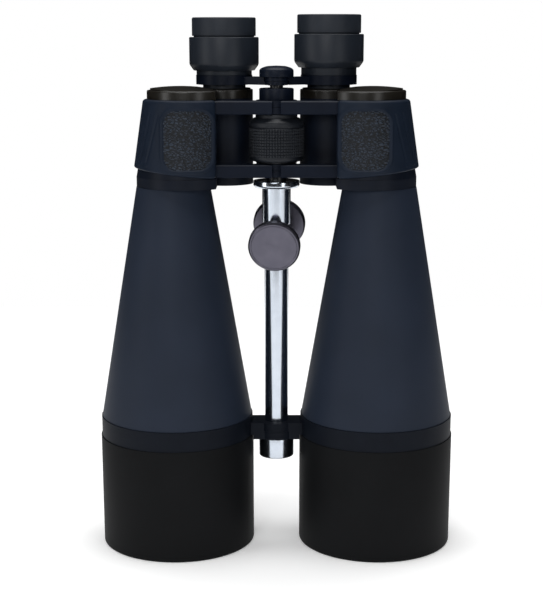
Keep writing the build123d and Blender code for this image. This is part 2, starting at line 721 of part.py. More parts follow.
def clamp_knob():
    edge = RIM_EDGE
    body = turned([
        (0, SCREW_TIP), (SCREW_R, SCREW_TIP), (SCREW_R, KNOB_BACK), (KNOB_R - edge, KNOB_BACK),
        (KNOB_R, KNOB_BACK + edge), (KNOB_R, KNOB_FACE - edge), (KNOB_R - edge, KNOB_FACE),
        (0, KNOB_FACE),
    ])
    return clamp_frame() * body


def tripod_foot():
    edge = RIM_EDGE
    body = turned([
        (SOCKET_R, -FOOT_FACE), (FOOT_R - edge, -FOOT_FACE), (FOOT_R, edge - FOOT_FACE),
        (FOOT_R, -FOOT_BACK - edge), (FOOT_R - edge, -FOOT_BACK), (SOCKET_R, -FOOT_BACK),
    ])
    return clamp_frame() * body


# ---------------------------------------------------------------- every part, by name

def paired_parts(side):
    return {
        "objective_tube": objective_tube(),
        "objective_crown": objective_crown(),
        "objective_flint": objective_flint(),
        "lens_retainer": lens_retainer(),
        "barrel": barrel(),
        "front_bridge": front_bridge(upper_knuckle=side > 0),
        "prism_housing": prism_housing(),
        "armour": armour_with_panel_seat(),
        "grip_panel": grip_panel(),
        "cover_plate": cover_plate(),
        "eyepiece_guide": eyepiece_guide(),
        "objective_prism": objective_prism(),
        "eye_prism": eye_prism(),
        "prism_clips": prism_clips(),
        "prism_shelf": prism_shelf(),
        "upper_hinge_arm": hinge_arm("upper", side),
        "lower_hinge_arm": hinge_arm("lower", side),
        "eyepiece_arm": eyepiece_arm(side),
        "eyepiece_tube": eyepiece_tube(),
        "lens_cell": on_eye_axis(lens_cell(), side),
        "field_lens": on_eye_axis(field_lens(), side),
        "eye_lens": on_eye_axis(eye_lens(), side),
        "eyepiece_ring": on_eye_axis(eyepiece_ring(), side),
        "eyecup": on_eye_axis(eyecup(), side),
    }


def centre_parts():
    return {
        "rod": rod(),
        "rod_sleeve": rod_sleeve(),
        "rod_nut": rod_nut(),
        "hinge_tube": hinge_tube(),
        "hinge_post": hinge_post(),
        "focus_wheel": focus_wheel(),
        "focus_spindle": focus_spindle(),
        "hub_cap": hub_cap(),
        "clamp_liner": clamp_liner(),
        "clamp_collar": clamp_collar(),
        "clamp_knob": clamp_knob(),
        "tripod_foot": tripod_foot(),
    }


def all_parts():
    parts = centre_parts()
    for side, prefix in ((1, "right_"), (-1, "left_")):
        for name, part in paired_parts(side).items():
            parts[prefix + name] = for_side(part, side)
    return parts


os.makedirs("parts", exist_ok=True)
for node, part in all_parts().items():
    export_step(part, "parts/" + node + ".step")
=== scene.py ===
import json
from math import acos, atan2, cos, exp, hypot, pi, radians, sin, sqrt

import bmesh
import bpy
from mathutils import Matrix, Vector, noise


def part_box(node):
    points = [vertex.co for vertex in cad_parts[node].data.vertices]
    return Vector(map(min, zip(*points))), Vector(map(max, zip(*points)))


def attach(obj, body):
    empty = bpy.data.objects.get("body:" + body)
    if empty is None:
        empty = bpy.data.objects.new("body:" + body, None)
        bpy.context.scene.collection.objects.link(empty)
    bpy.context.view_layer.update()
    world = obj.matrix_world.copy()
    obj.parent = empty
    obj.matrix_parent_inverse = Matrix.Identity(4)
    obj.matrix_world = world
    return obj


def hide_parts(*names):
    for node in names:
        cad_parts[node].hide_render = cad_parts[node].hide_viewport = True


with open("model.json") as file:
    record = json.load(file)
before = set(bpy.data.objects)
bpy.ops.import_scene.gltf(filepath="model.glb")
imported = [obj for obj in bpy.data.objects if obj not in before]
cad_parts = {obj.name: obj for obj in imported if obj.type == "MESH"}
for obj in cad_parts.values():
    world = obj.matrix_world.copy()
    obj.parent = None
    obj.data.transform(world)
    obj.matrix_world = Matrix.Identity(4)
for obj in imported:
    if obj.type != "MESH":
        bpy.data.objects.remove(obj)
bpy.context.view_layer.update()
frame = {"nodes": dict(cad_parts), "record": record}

mm = 0.001
sides = {"right_": 1, "left_": -1}


# camera, floor and lights

cameraLook = {"lens": 82.2, "place": (0.0, -0.834, 0.3173), "downDegrees": 13.8,
              "shift": (-0.0083, 0.11)}
studio = {"floorHalf": 0.75, "floorHex": "#ffffff", "floorRough": 0.9, "floorGlow": 0.12,
          "backdropStrength": 1.0, "roomStrength": 0.10}
softBoxes = {
    "keyFront": {"place": (-0.35, -1.7, 0.75), "aim": (0, 0, 0.16), "size": (0.8, 0.5), "watts": 9},
    "stripLeft": {"place": (-1.5, -0.75, 0.25), "aim": (0, 0, 0.16), "size": (0.5, 1.6), "watts": 7},
    "stripRight": {"place": (1.0, -1.5, 0.25), "aim": (0, 0, 0.16), "size": (0.4, 1.6), "watts": 5},
    "topSoft": {"place": (0.0, 0.15, 1.9), "aim": (0, 0, 0), "size": (1.8, 1.6), "watts": 46},
}


def linear(hexColour):
    channels = [int(hexColour[i:i + 2], 16) / 255 for i in (1, 3, 5)]
    return tuple(c / 12.92 if c <= 0.04045 else ((c + 0.055) / 1.055) ** 2.4 for c in channels) + (1.0,)


def addNode(tree, kind, settings=None, links=None):
    node = tree.nodes.new(kind)
    for key, value in (settings or {}).items():
        if isinstance(key, str) and hasattr(node, key):
            setattr(node, key, value)
        else:
            node.inputs[key].default_value = value
    for key, source in (links or {}).items():
        tree.links.new(source, node.inputs[key])
    return node


def makeCamera():
    data = bpy.data.cameras.new("studioCamera")
    data.lens = cameraLook["lens"]
    data.shift_x, data.shift_y = cameraLook["shift"]
    camera = bpy.data.objects.new("studioCamera", data)
    tilt = Matrix.Rotation(radians(90 - cameraLook["downDegrees"]), 4, "X")
    camera.matrix_world = Matrix.Translation(cameraLook["place"]) @ tilt
    bpy.context.scene.collection.objects.link(camera)
    bpy.context.scene.camera = camera


def makeFloor():
    bm = bmesh.new()
    bmesh.ops.create_grid(bm, x_segments=1, y_segments=1, size=studio["floorHalf"])
    mesh = bpy.data.meshes.new("studioFloor")
    bm.to_mesh(mesh)
    bm.free()
    floor = bpy.data.objects.new("studioFloor", mesh)
    bpy.context.scene.collection.objects.link(floor)
    paper = bpy.data.materials.new("matt_white_paper")
    paper.use_nodes = True
    shader = paper.node_tree.nodes["Principled BSDF"]
    shader.inputs["Base Color"].default_value = linear(studio["floorHex"])
    shader.inputs["Roughness"].default_value = studio["floorRough"]
    shader.inputs["Emission Color"].default_value = (1, 1, 1, 1)
    shader.inputs["Emission Strength"].default_value = studio["floorGlow"]
    mesh.materials.append(paper)


def makeLights():
    # the room is white behind the object and dim where it lights it, so that the dark enamel stays dark
    world = bpy.data.worlds.new("paleRoom")
    world.use_nodes = True
    tree = world.node_tree
    dim = tree.nodes["Background"]
    dim.inputs["Strength"].default_value = studio["roomStrength"]
    backdrop = {"Color": (1, 1, 1, 1), "Strength": studio["backdropStrength"]}
    pale = addNode(tree, "ShaderNodeBackground", backdrop)
    seen = addNode(tree, "ShaderNodeLightPath").outputs["Is Camera Ray"]
    both = addNode(tree, "ShaderNodeMixShader", {}, {0: seen, 1: dim.outputs[0], 2: pale.outputs[0]})
    tree.links.new(both.outputs[0], tree.nodes["World Output"].inputs["Surface"])
    bpy.context.scene.world = world
    for name, light in softBoxes.items():
        data = bpy.data.lights.new(name, "AREA")
        data.shape = "RECTANGLE"
        data.size, data.size_y = light["size"]
        data.energy = light["watts"]
        lamp = bpy.data.objects.new(name, data)
        turn = (Vector(light["aim"]) - Vector(light["place"])).to_track_quat("-Z", "Y")
        lamp.matrix_world = Matrix.Translation(light["place"]) @ turn.to_matrix().to_4x4()
        bpy.context.scene.collection.objects.link(lamp)
    bpy.context.scene.view_settings.view_transform = "Standard"


makeCamera()
makeFloor()
makeLights()
print("stage: camera, floor and lights")


# materials

# pattern sizes and bump depths in mm, and how far a pattern takes the roughness down and up
surface = {"bump": 0.05, "scratchBump": 0.02, "sprayDown": 0.05, "sprayUp": 0.06, "handled": 9,
           "handledSpread": 0.06, "leather": 0.35, "valleyUp": 0.15, "crestDown": 0.05,
           "turnedCloud": 6, "turnedLow": 0.7, "turnedHigh": 1.4, "film": 14}
glassLook = {"Roughness": 0.02, "IOR": 1.52, "Transmission Weight": 1.0, "Coat Roughness": 0.03}


def newMaterial(name, settings):
    material = bpy.data.materials.new(name)
    material.use_nodes = True
    tree = material.node_tree
    shader = tree.nodes["Principled BSDF"]
    for key, value in settings.items():
        shader.inputs[key].default_value = value
    place = addNode(tree, "ShaderNodeTexCoord").outputs["Object"]
    return material, tree, shader, place


def sprayedEnamel(name, look):
    # sprayed and baked enamel on metal: a fine even orange peel breaks up a soft sheen
    material, tree, shader, place = newMaterial(name, {"Specular IOR Level": look["specular"]})
    cloud = addNode(tree, "ShaderNodeTexNoise", {"Scale": 1 / (look["cloudMm"] * mm), "Detail": 3.0},
                    {"Vector": place})
    grain = addNode(tree, "ShaderNodeTexNoise", {"Scale": 1 / (look["grainMm"] * mm), "Detail": 2.0},
                    {"Vector": place})
    colours = {"data_type": "RGBA", 6: linear(look["low"]), 7: linear(look["high"])}
    colour = addNode(tree, "ShaderNodeMix", colours, {0: cloud.outputs["Fac"]})
    span = {3: look["rough"] - surface["sprayDown"], 4: look["rough"] + surface["sprayUp"]}
    sheen = addNode(tree, "ShaderNodeMapRange", span, {"Value": grain.outputs["Fac"]})
    tree.links.new(colour.outputs[2], shader.inputs["Base Color"])
    tree.links.new(sheen.outputs[0], shader.inputs["Roughness"])
    bump = addNode(tree, "ShaderNodeBump", {"Strength": look["peel"], "Distance": surface["bump"] * mm},
                   {"Height": grain.outputs["Fac"]})
    tree.links.new(bump.outputs["Normal"], shader.inputs["Normal"])
    return material


def mouldedRubber(name, look):
    # compression-moulded rubber: dull, with the mould's fine spark texture and faint handling marks
    material, tree, shader, place = newMaterial(name, {"Specular IOR Level": look["specular"]})
    cloud = addNode(tree, "ShaderNodeTexNoise", {"Scale": 1 / (surface["handled"] * mm), "Detail": 4.0},
                    {"Vector": place})
    spark = addNode(tree, "ShaderNodeTexVoronoi", {"Scale": 1 / (look["grainMm"] * mm)}, {"Vector": place})
    colours = {"data_type": "RGBA", 6: linear(look["low"]), 7: linear(look["high"])}
    colour = addNode(tree, "ShaderNodeMix", colours, {0: cloud.outputs["Fac"]})
    span = {3: look["rough"] - surface["handledSpread"], 4: look["rough"] + surface["handledSpread"]}
    sheen = addNode(tree, "ShaderNodeMapRange", span, {"Value": cloud.outputs["Fac"]})
    tree.links.new(colour.outputs[2], shader.inputs["Base Color"])
    tree.links.new(sheen.outputs[0], shader.inputs["Roughness"])
    bump = addNode(tree, "ShaderNodeBump", {"Strength": look["peel"], "Distance": surface["bump"] * mm},
                   {"Height": spark.outputs["Distance"]})
    tree.links.new(bump.outputs["Normal"], shader.inputs["Normal"])
    return material


def pebbledRubber(name, look):
    # rubber moulded in a leather-grain tool: the colour paints shade into the valleys so they look darker
    # than the lighter tops, and the worn tops are smoother
    material, tree, shader, place = newMaterial(name, {"Specular IOR Level": look["specular"]})
    height = addNode(tree, "ShaderNodeAttribute", {"attribute_name": "pebbleHeight"})
    fine = addNode(tree, "ShaderNodeTexNoise", {"Scale": 1 / (surface["leather"] * mm), "Detail": 2.0},
                   {"Vector": place})
    colours = {"data_type": "RGBA", 6: linear(look["low"]), 7: linear(look["high"])}
    # painted shade: the pebble height mixes the dark colour into the valleys and the light one onto the
    # crests
    colour = addNode(tree, "ShaderNodeMix", colours, {0: height.outputs["Fac"]})
    span = {3: look["rough"] + surface["valleyUp"], 4: look["rough"] - surface["crestDown"]}
    sheen = addNode(tree, "ShaderNodeMapRange", span, {"Value": height.outputs["Fac"]})
    tree.links.new(colour.outputs[2], shader.inputs["Base Color"])
    tree.links.new(sheen.outputs[0], shader.inputs["Roughness"])
    bump = addNode(tree, "ShaderNodeBump", {"Strength": look["peel"], "Distance": surface["bump"] * mm},
                   {"Height": fine.outputs["Fac"]})
    tree.links.new(bump.outputs["Normal"], shader.inputs["Normal"])
    return material


def turnedMetal(name, look):
    # metal finished on a lathe: fine lines run round the axis and pull the highlights out across them
    settings = {"Metallic": 1.0, "Anisotropic": look.get("anisotropic", 0.0)}
    material, tree, shader, place = newMaterial(name, settings)
    lines = addNode(tree, "ShaderNodeMapping", {"Scale": (1, 1, look["stretch"])}, {"Vector": place})
    scratch = addNode(tree, "ShaderNodeTexNoise", {"Scale": 1 / (look["grainMm"] * mm), "Detail": 4.0},
                      {"Vector": lines.outputs["Vector"]})
    cloud = addNode(tree, "ShaderNodeTexNoise", {"Scale": 1 / (surface["turnedCloud"] * mm), "Detail": 2.0},
                    {"Vector": place})
    colours = {"data_type": "RGBA", 6: linear(look["low"]), 7: linear(look["high"])}
    colour = addNode(tree, "ShaderNodeMix", colours, {0: cloud.outputs["Fac"]})
    span = {3: look["rough"] * surface["turnedLow"], 4: look["rough"] * surface["turnedHigh"]}
    polish = addNode(tree, "ShaderNodeMapRange", span, {"Value": scratch.outputs["Fac"]})
    tree.links.new(colour.outputs[2], shader.inputs["Base Color"])
    tree.links.new(polish.outputs[0], shader.inputs["Roughness"])
    relief = {"Strength": look["peel"], "Distance": surface["scratchBump"] * mm}
    bump = addNode(tree, "ShaderNodeBump", relief, {"Height": scratch.outputs["Fac"]})
    tree.links.new(bump.outputs["Normal"], shader.inputs["Normal"])
    if "anisotropic" in look:
        around = addNode(tree, "ShaderNodeTangent", {"direction_type": "RADIAL", "axis": "Y"})
        tree.links.new(around.outputs["Tangent"], shader.inputs["Tangent"])
    return material


def polishedGlass(name, look):
    # polished optical glass with an anti-reflection coating that leaves a weak coloured reflection
    settings = {**glassLook, "Coat Weight": look["coat"], "Coat Tint": linear(look["coatHex"])}
    material, tree, shader, place = newMaterial(name, settings)
    film = addNode(tree, "ShaderNodeTexNoise", {"Scale": 1 / (surface["film"] * mm), "Detail": 1.0},
                   {"Vector": place})
    colours = {"data_type": "RGBA", 6: linear(look["low"]), 7: linear(look["high"])}
    colour = addNode(tree, "ShaderNodeMix", colours, {0: film.outputs["Fac"]})
    tree.links.new(colour.outputs[2], shader.inputs["Base Color"])
    return material


def enamel(low, high, rough, cloudMm, specular=0.3, grainMm=0.5, peel=0.3):
    return {"low": low, "high": high, "rough": rough, "cloudMm": cloudMm, "specular": specular,
            "grainMm": grainMm, "peel": peel}


enamels = {
    "tube_enamel": enamel("#0c0d0e", "#131416", 0.6, 30, 0.08),
    "barrel_enamel": enamel("#1a212d", "#232b3a", 0.56, 35, 0.16),
    "bridge_enamel": enamel("#090d15", "#10151e", 0.55, 12, 0.1),
    "housing_enamel": enamel("#0a0f18", "#121824", 0.45, 12, 0.13),
    "hinge_enamel": enamel("#0a101b", "#111826", 0.4, 10, 0.12),
    "cover_enamel": enamel("#15130f", "#201d18", 0.3, 14, 0.45, 0.4, 0.2),
    "eyepiece_enamel": enamel("#171c24", "#20262f", 0.44, 12),
    "inner_enamel": enamel("#040404", "#080809", 0.75, 8, 0.2),
    "prism_shelf_metal": enamel("#08080a", "#101012", 0.6, 8, 0.2),
    "hinge_steel": enamel("#101216", "#181b20", 0.34, 6, 0.5, 0.3, 0.2),
}
rubbers = {
    "armour_rubber": {"low": "#101824", "high": "#172130", "rough": 0.52, "grainMm": 0.3, "peel": 0.2,
                      "specular": 0.14},
    "eyecup_rubber": {"low": "#191e26", "high": "#222831", "rough": 0.52, "grainMm": 0.3, "peel": 0.2,
                      "specular": 0.3},
    "wheel_rubber": {"low": "#13161b", "high": "#1c2027", "rough": 0.48, "grainMm": 0.25, "peel": 0.2,
                     "specular": 0.3},
}
metals = {
    "rod_chrome": {"low": "#bcc4cf", "high": "#d0d7e0", "rough": 0.16,
                   "grainMm": 3.0, "stretch": 30, "peel": 0.1},
    "clamp_metal": {"low": "#565560", "high": "#66646f", "rough": 0.34,
                    "grainMm": 1.5, "stretch": 1, "peel": 0.3, "anisotropic": 0.6},
    "collar_enamel": {"low": "#6f6c70", "high": "#868388", "rough": 0.35,
                      "grainMm": 2.0, "stretch": 20, "peel": 0.3},
    "spring_steel": {"low": "#8c8c8c", "high": "#a4a4a4", "rough": 0.3,
                     "grainMm": 2.0, "stretch": 4, "peel": 0.2},
}
glasses = {
    "coated_glass": {"low": "#8f9fe0", "high": "#a8b4ea", "coat": 0.6, "coatHex": "#7a62d8"},
    "prism_glass": {"low": "#dfe8ea", "high": "#edf3f4", "coat": 0.0, "coatHex": "#ffffff"},
}
# low is the painted shade in the pebble valleys, high the colour of the lighter crests
pebbleLookWithPaintedShade = {"low": "#06090e", "high": "#252e3b", "rough": 0.46, "peel": 0.25, "specular": 0.3}
finishNames = {
    "tube_enamel": "satin_black_baked_enamel", "barrel_enamel": "blue_black_baked_enamel",
    "bridge_enamel": "black_enamel_on_cast_bridge", "housing_enamel": "black_enamel_on_cast_housing",
    "hinge_enamel": "semi_gloss_black_enamel", "cover_enamel": "gloss_black_enamel",
    "eyepiece_enamel": "satin_eyepiece_enamel", "inner_enamel": "matt_black_antireflection_paint",
    "prism_shelf_metal": "black_anodised_aluminium", "hinge_steel": "blackened_steel",
    "armour_rubber": "smooth_moulded_rubber", "eyecup_rubber": "soft_eyecup_rubber",
    "wheel_rubber": "knurled_hard_rubber", "panel_rubber": "pebbled_moulded_rubber",
    "rod_chrome": "polished_chrome_plate", "clamp_metal": "turned_satin_aluminium",
    "collar_enamel": "grey_metallic_casting", "spring_steel": "rolled_spring_steel",
    "coated_glass": "coated_lens_glass", "prism_glass": "polished_prism_glass",
}
makers = ((sprayedEnamel, enamels), (mouldedRubber, rubbers), (pebbledRubber, {"panel_rubber": pebbleLookWithPaintedShade}),
          (turnedMetal, metals), (polishedGlass, glasses))
materials = {}
for maker, looks in makers:
    for slotName, look in looks.items():
        materials[slotName] = maker(finishNames[slotName], look)

slotOf = {part["node"]: part["material_slot"] for part in frame["record"]["subparts"]}
bodyNodes = frame["record"]["behaviour"]["bodies"]
bodyOf = {node: body for body, nodes in bodyNodes.items() for node in nodes}
for nodeName, nodeObject in frame["nodes"].items():
    nodeObject.data.materials.clear()
    nodeObject.data.materials.append(materials[slotOf[nodeName]])
print("stage: materials on", len(frame["nodes"]), "nodes")


# how pieces are made and placed

def axisOf(node):
    low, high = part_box(node)
    return Vector(((low.x + high.x) / 2, (low.y + high.y) / 2, 0))


lathe = {"roundSegments": 4, "mergeMm": 0.0005}


def turned(profile, steps=128, closed=True):
    # spins corners (radius, height, rounding), all in mm, about Z; a closed profile leaves a bore
    bm = bmesh.new()
    corners = [bm.verts.new((corner[0] * mm, 0, corner[1] * mm)) for corner in profile]
    for pair in zip(corners, corners[1:] + corners[:1] if closed else corners[1:]):
        bm.edges.new(pair)
    for vert, corner in zip(corners, profile):
        if len(corner) > 2:
            bmesh.ops.bevel(bm, geom=[vert], offset=corner[2] * mm, offset_type="OFFSET",
                            segments=lathe["roundSegments"], profile=0.5, affect="VERTICES", material=-1)
    bmesh.ops.spin(bm, geom=bm.verts[:] + bm.edges[:], axis=(0, 0, 1), cent=(0, 0, 0), angle=2 * pi,
                   steps=steps, use_merge=True)
    bmesh.ops.remove_doubles(bm, verts=bm.verts, dist=lathe["mergeMm"] * mm)
    bmesh.ops.recalc_face_normals(bm, faces=bm.faces)
    return bm


def finish(bm, name, node, sharp=30):
    # makes the piece that stands for a CAD node, on that node's body and with its finish
    mesh = bpy.data.meshes.new(name)
    bm.to_mesh(mesh)
    bm.free()
    mesh.shade_smooth()
    mesh.set_sharp_from_angle(angle=radians(sharp))
    mesh.materials.append(materials[slotOf[node]])
    piece = bpy.data.objects.new(name, mesh)
    bpy.context.scene.collection.objects.link(piece)
    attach(piece, bodyOf[node])
    return piece


def standIn(bm, name, node, place=None, sharp=30):
    if place is not None:
        bmesh.ops.translate(bm, vec=place, verts=bm.verts)
    piece = finish(bm, name, node, sharp)
    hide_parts(node)
    return piece


# objective tubes and barrels

tube = {"radius": 48.0, "bore": 45.6, "lensBore": 42.1, "seat": 40.0, "top": 70.3, "spigot": 44.2,
        "boreTop": 46.0, "lensSeat": 62.0, "spigotBottom": 64.0, "lipRound": 0.6,
        "rimRound": 1.1, "topRound": 0.35, "stepRound": 0.2, "ridgeFrom": 6.0,
        "ridgeTo": 42.0, "ridgePitch": 2.0, "ridgeDepth": 0.5}
cone = {"seat": 45.3, "bottom": (46.9, 82.5), "top": (22.4, 225.0), "neck": 21.0, "neckTop": 228.3,
        "wall": 2.6, "bottomRound": 0.4, "topRound": 0.3}


def tubeProfile():
    inside = []
    count = int((tube["ridgeTo"] - tube["ridgeFrom"]) / tube["ridgePitch"])
    for step in range(count):
        z = tube["ridgeTo"] - step * tube["ridgePitch"]
        inside.append((tube["bore"], z))
        inside.append((tube["bore"] - tube["ridgeDepth"], z - tube["ridgePitch"] / 2))
    return [(tube["bore"], 0, tube["lipRound"]), (tube["radius"], 0, tube["rimRound"]),
            (tube["radius"], tube["top"], tube["topRound"]),
            (tube["spigot"], tube["top"]), (tube["spigot"], tube["spigotBottom"]),
            (tube["seat"], tube["spigotBottom"]), (tube["seat"], tube["lensSeat"]),
            (tube["lensBore"], tube["lensSeat"]), (tube["lensBore"], tube["boreTop"]),
            (tube["bore"], tube["boreTop"], tube["stepRound"])] + inside


def barrelProfile():
    innerSpigot = tube["spigot"] - cone["wall"]
    return [(innerSpigot, tube["spigotBottom"]), (tube["spigot"], tube["spigotBottom"]),
            (tube["spigot"], tube["top"]), (cone["seat"], tube["top"]), (cone["seat"], cone["bottom"][1]),
            (*cone["bottom"], cone["bottomRound"]), (*cone["top"], cone["topRound"]),
            (cone["neck"], cone["top"][1]), (cone["neck"], cone["neckTop"]),
            (cone["neck"] - cone["wall"], cone["neckTop"]), (cone["neck"] - cone["wall"], cone["top"][1]),
            (cone["bottom"][0] - 2 * cone["wall"], cone["bottom"][1])]


for side in sides:
    tubeNode, barrelNode = side + "objective_tube", side + "barrel"
    standIn(turned(tubeProfile()), side + "lens_hood", tubeNode, axisOf(tubeNode))
    standIn(turned(barrelProfile()), side + "tapered_barrel", barrelNode, axisOf(barrelNode))
print("stage: tubes and barrels")


# polished rod, sleeve, flange and nut

rod = {"radius": 7.3, "bottom": 57.0, "top": 228.6, "root": 3.98, "rootTop": 236.6}
sleeve = {"radius": 8.65, "bottom": 201.9, "top": 224.4, "flange": 14.0, "flangeTop": 228.6,
          "flangeSlope": 1.2}
nut = {"radius": 10.9, "bottom": 54.7, "top": 67.3}

standIn(turned([(0, rod["bottom"]), (rod["radius"], rod["bottom"], 0.5), (rod["radius"], rod["top"]),
                (rod["root"], rod["top"]), (rod["root"], rod["rootTop"]), (0, rod["rootTop"])], closed=False),
        "polished_rod", "rod")
standIn(turned([(rod["radius"], sleeve["bottom"]), (sleeve["radius"], sleeve["bottom"], 0.9),
                (sleeve["radius"], sleeve["top"], 0.3),
                (sleeve["flange"] - sleeve["flangeSlope"], sleeve["top"], 0.4),
                (sleeve["flange"], sleeve["top"] + sleeve["flangeSlope"], 0.4),
                (sleeve["flange"], sleeve["flangeTop"], 0.5),
                (rod["radius"], sleeve["flangeTop"])]),
        "flanged_sleeve", "rod_sleeve")
standIn(turned([(0, nut["bottom"]), (nut["radius"], nut["bottom"], 0.9), (nut["radius"], nut["top"], 0.4),
                (rod["radius"], nut["top"]), (rod["radius"], rod["bottom"]), (0, rod["bottom"])],
               closed=False),
        "rod_end_nut", "rod_nut")


# focus wheel with its square knurl, hinge post and hub cap

wheel = {"bore": 6.1, "bottom": 240.5, "top": 266.0, "footR": 15.4, "footRise": 1.3, "gripR": 16.3,
         "bandR": 16.3, "bandTop": 263.4, "grooveDepth": 0.4, "grooveRise": 0.3, "bandRise": 0.8,
         "topR": 13.75, "bossR": 12.6, "bossBore": 9.6, "bossBottom": 239.4, "bossTop": 268.2,
         "gripZ": (243.2, 260.2), "gripReach": 0.3, "rows": 10, "columns": 62, "squareGap": 0.3,
         "squareHeight": 0.42}


def makeWheel():
    low, high = wheel["gripZ"]
    rows = [(wheel["gripR"], low + (high - low) * i / wheel["rows"]) for i in range(wheel["rows"] + 1)]
    profile = [(wheel["bore"], wheel["bottom"]), (wheel["bossBore"], wheel["bottom"]),
               (wheel["bossBore"], wheel["bossBottom"]), (wheel["bossR"], wheel["bossBottom"], 0.3),
               (wheel["bossR"], wheel["bottom"]), (wheel["footR"], wheel["bottom"], 0.5),
               (wheel["gripR"], wheel["bottom"] + wheel["footRise"], 0.4)] + rows
    profile += [(wheel["gripR"] - wheel["grooveDepth"], high + wheel["grooveRise"]),
                (wheel["bandR"], high + wheel["bandRise"], 0.2), (wheel["bandR"], wheel["bandTop"], 0.8),
                (wheel["topR"], wheel["top"], 0.5), (wheel["bossR"], wheel["top"]),
                (wheel["bossR"], wheel["bossTop"], 0.3), (wheel["bossBore"], wheel["bossTop"]),
                (wheel["bossBore"], wheel["top"]), (wheel["bore"], wheel["top"])]
    bm = turned(profile, steps=wheel["columns"])
    squares = []
    for face in bm.faces:
        middle = face.calc_center_median()
        outer = hypot(middle.x, middle.y) > (wheel["gripR"] - wheel["gripReach"]) * mm
        if outer and low * mm < middle.z < high * mm:
            squares.append(face)
    bmesh.ops.inset_individual(bm, faces=squares, thickness=wheel["squareGap"] * mm,
                               depth=wheel["squareHeight"] * mm, use_even_offset=True)
    return bm


post = {"radius": 10.35, "bore": 4.06, "bottom": 276.4, "top": 283.4}
cap = {"radius": 10.25, "bottom": 290.0, "shoulder": 293.9, "dome": ((9.2, 295.0, 0.8), (6.0, 296.2, 1.5)),
       "top": 296.5}

standIn(makeWheel(), "knurled_focus_wheel", "focus_wheel", sharp=24)
standIn(turned([(post["bore"], post["bottom"]), (post["radius"], post["bottom"], 0.3),
                (post["radius"], post["top"], 0.8), (post["bore"], post["top"], 0.2)]),
        "turned_hinge_post", "hinge_post")
standIn(turned([(0, cap["bottom"]), (cap["radius"], cap["bottom"], 0.3),
                (cap["radius"], cap["shoulder"], 0.5), *cap["dome"], (0, cap["top"])], closed=False),
        "domed_hub_cap", "hub_cap")
print("stage: rod, wheel and cap")


# eyepieces

neck = {"bore": 11.85, "tube": 12.95, "bottom": 262.0, "step": 284.8, "ring": 15.0, "radius": 16.8,
        "ringTop": 290.5, "top": 305.0, "cellBore": 14.0, "boreStep": 291.0}
ring = {"radius": 21.05, "skirtBore": 17.1, "bottom": 295.0, "full": 298.5, "top": 314.7, "ceiling": 307.2,
        "bore": 13.97, "footR": 18.45}
cup = {"radius": 19.3, "spigot": 18.3, "bore": 14.5, "bottom": 311.5, "shoulder": 315.3, "top": 326.2,
       "wall": 2.0,
       "steps": ((0.3, 321.0, 0.5), (0.9, 320.2, 0.4), (1.0, 318.3, 0.6)), "bottomLip": 316.8}


def neckProfile(drop):
    return [(neck["bore"], neck["bottom"]), (neck["tube"], neck["bottom"], 0.3), (neck["tube"], neck["step"]),
            (neck["ring"], neck["step"]), (neck["ring"], neck["ringTop"]),
            (neck["radius"], neck["ringTop"], 0.3),
            (neck["radius"], neck["top"] - drop), (neck["cellBore"], neck["top"] - drop),
            (neck["cellBore"], neck["boreStep"] - drop), (neck["bore"], neck["boreStep"] - drop)]


def ringProfile():
    return [(ring["skirtBore"], ring["bottom"]), (ring["footR"], ring["bottom"], 0.3),
            (ring["radius"], ring["full"], 0.9), (ring["radius"], ring["top"], 0.7),
            (cup["spigot"], ring["top"]),
            (cup["spigot"], cup["bottom"]), (ring["bore"], cup["bottom"]), (ring["bore"], ring["ceiling"]),
            (ring["skirtBore"], ring["ceiling"])]


def cupProfile():
    inner = cup["radius"] - cup["wall"]
    return [(cup["bore"], cup["bottom"]), (cup["spigot"], cup["bottom"]), (cup["spigot"], cup["shoulder"]),
            (cup["radius"], cup["shoulder"], 0.5), (cup["radius"], cup["top"], 0.9), (inner, cup["top"], 0.8),
            *((inner - inward, z, rounding) for inward, z, rounding in cup["steps"]),
            (cup["bore"], cup["bottomLip"], 0.3)]


for side in sides:
    eyeAxis = axisOf(side + "eyepiece_ring")
    drop = cup["top"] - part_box(side + "eyecup")[1].z / mm
    lowered = eyeAxis - Vector((0, 0, drop * mm))
    standIn(turned(neckProfile(drop)), side + "eyepiece_neck", side + "eyepiece_tube", eyeAxis)
    standIn(turned(ringProfile()), side + "focus_ring", side + "eyepiece_ring", lowered)
    standIn(turned(cupProfile()), side + "rubber_eyecup", side + "eyecup", lowered)
print("stage: eyepieces")


# tripod clamp: knurled screw knob in front and knurled foot behind

clamp = {"height": 194.4, "lean": 15.5, "turn": 5.3, "teeth": 96, "toothDepth": 0.4, "toothEdge": 0.06,
         "rimEdge": 0.9, "rimReach": 0.3}
knob = {"radius": 15.75, "back": 12.0, "face": 17.5, "screw": 3.0, "tip": 9.7, "line": (14.1, 13.9, 13.7),
        "lineDepth": 0.15}
foot = {"radius": 16.2, "face": -22.5, "back": -17.5, "socket": 3.2}


def clampPlace():
    lean, turn = radians(clamp["lean"]), radians(clamp["turn"])
    out = Vector((-sin(turn) * cos(lean), -cos(turn) * cos(lean), -sin(lean)))
    across = Vector((cos(turn), -sin(turn), 0))
    axes = Matrix((across, out.cross(across), out)).transposed().to_4x4()
    return Matrix.Translation((0, 0, clamp["height"] * mm)) @ axes


def knurlRim(bm, radius, low, high):
    # sinks every other rim face between two heights, in mm
    pitch = pi / clamp["teeth"]
    gaps = []
    for face in bm.faces:
        middle = face.calc_center_median()
        column = int((atan2(middle.y, middle.x) + 2 * pi) / pitch)
        outer = hypot(middle.x, middle.y) > (radius - clamp["rimReach"]) * mm
        if outer and column % 2 and low * mm < middle.z < high * mm:
            gaps.append(face)
    bmesh.ops.inset_individual(bm, faces=gaps, thickness=clamp["toothEdge"] * mm,
                               depth=-clamp["toothDepth"] * mm, use_even_offset=True)


